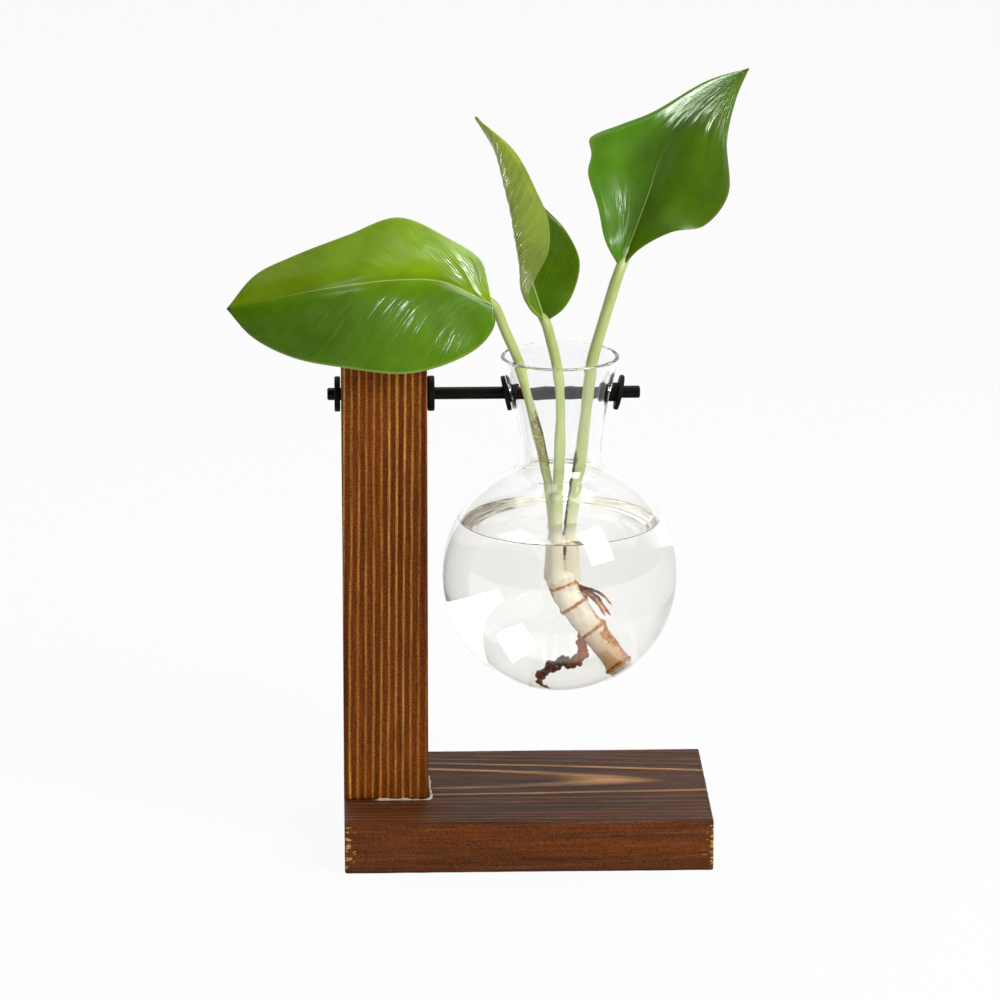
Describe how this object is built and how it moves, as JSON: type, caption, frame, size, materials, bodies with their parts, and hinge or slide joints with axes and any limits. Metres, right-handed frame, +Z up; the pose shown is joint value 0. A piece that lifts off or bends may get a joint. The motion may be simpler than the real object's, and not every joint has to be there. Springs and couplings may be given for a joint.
{
  "type": "hydroponic glass vase",
  "caption": "Desk vase for rooting cuttings: a round glass flask of water hangs by its flared neck on a steel rod that turns in a wooden post on a flat wooden board.",
  "frame": {"origin": "centre of the base board's underside, on the table", "axes": "+X along the rod from the post towards the rod's free end, +Y to the back, +Z up"},
  "size_m": [0.1749, 0.08, 0.2678],
  "materials": {
    "torched_board": "torched and brushed softwood, matt",
    "torched_post": "torched softwood with pale growth lines, satin",
    "wood_glue": "dried glue",
    "screw_steel": "zinc plated",
    "black_rod": "satin black",
    "black_rubber": "moulded, matt",
    "clear_glass": "clear blown glass",
    "water": "clear water",
    "root_stock": "waxy, with brown joints",
    "stalk": "smooth pale green",
    "leaf": "glossy green",
    "root": "dark, wet"
  },
  "bodies": {
    "stand": {"base_board": "torched_board", "post": "torched_post", "glue_bead": "wood_glue", "foot_screw_front": "screw_steel", "foot_screw_back": "screw_steel"},
    "rod": {"rod": "black_rod", "post_washer_outer": "black_rubber", "post_washer_inner": "black_rubber"},
    "flask": {"flask": "clear_glass", "neck_grommet_inner": "black_rubber", "neck_grommet_outer": "black_rubber", "rhizome": "root_stock", "root_long": "root", "root_tuft": "root", "petiole_left": "stalk", "petiole_middle": "stalk", "petiole_right": "stalk", "leaf_left": "leaf", "leaf_middle": "leaf", "leaf_right": "leaf"},
    "water": {"water": "water"}
  },
  "joints": [
    {"name": "rod_turn", "type": "hinge", "parent": "stand", "child": "rod", "pos_m": [0, 0, 0.1575], "axis": [1, 0, 0], "range_deg": [-60, 60]},
    {"name": "flask_slide", "type": "slide", "parent": "rod", "child": "flask", "axis": [1, 0, 0], "range_m": [-0.004, 0.044]},
    {"name": "water_level", "type": "hinge", "parent": "flask", "child": "water", "pos_m": [0.0115, 0, 0.09363], "axis": [1, 0, 0], "range_deg": [-60, 60], "deforming": ["water"]}
  ],
  "couplings": [
    {"joint": "water_level", "follows": "rod_turn", "ratio": -1}
  ]
}
